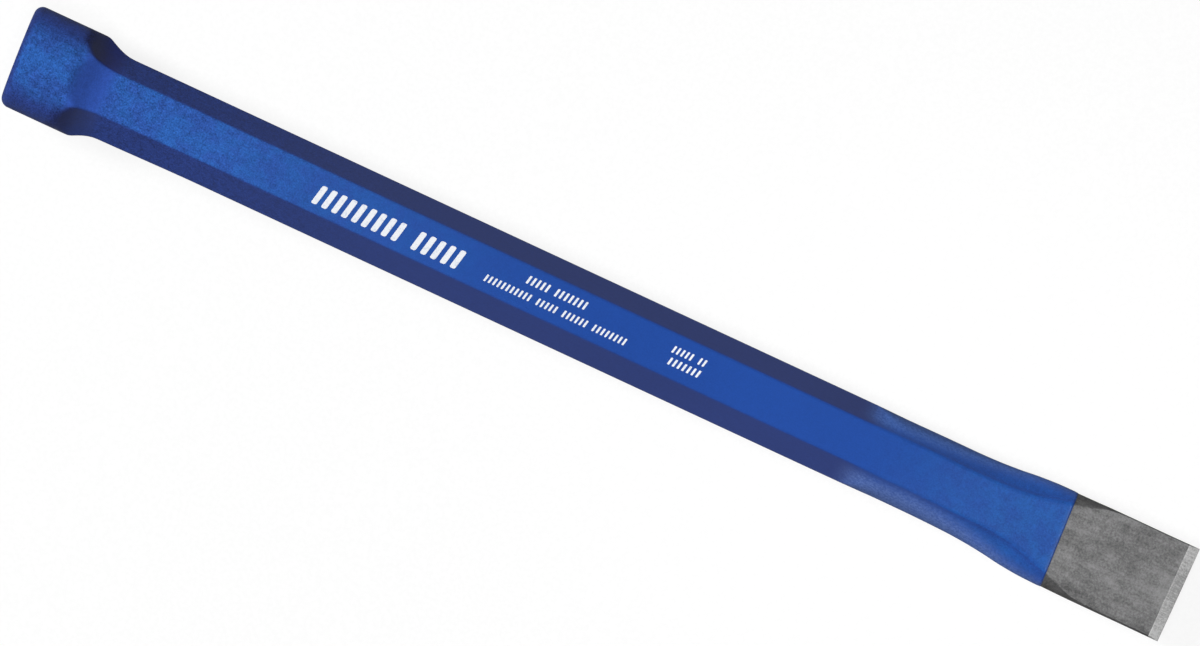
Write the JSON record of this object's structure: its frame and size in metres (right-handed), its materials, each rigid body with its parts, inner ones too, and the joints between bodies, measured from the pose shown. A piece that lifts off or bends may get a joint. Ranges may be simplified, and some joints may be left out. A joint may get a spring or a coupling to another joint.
{
  "type": "cold chisel",
  "caption": "Forged cold chisel: round struck head, painted hexagonal shank drawn out to a flat bare-steel blade with a ground cutting edge.",
  "frame": {"origin": "centre of the painted struck face", "axes": "+X along the tool from the struck face to the cutting edge, +Y across the blade, +Z out of the printed upper flat"},
  "size_m": [0.324, 0.027, 0.027],
  "materials": {
    "bare_steel": "matte forged and scaled steel, ground bright at the cutting edge",
    "blue_enamel": "satin sprayed enamel with a slight grain",
    "white_ink": "matte printed ink"
  },
  "bodies": {
    "root": {"steel_forging": "bare_steel", "paint_coat": "blue_enamel", "print_main_mark": "white_ink", "print_short_row": "white_ink", "print_long_row": "white_ink", "print_end_rows": "white_ink"}
  },
  "joints": []
}
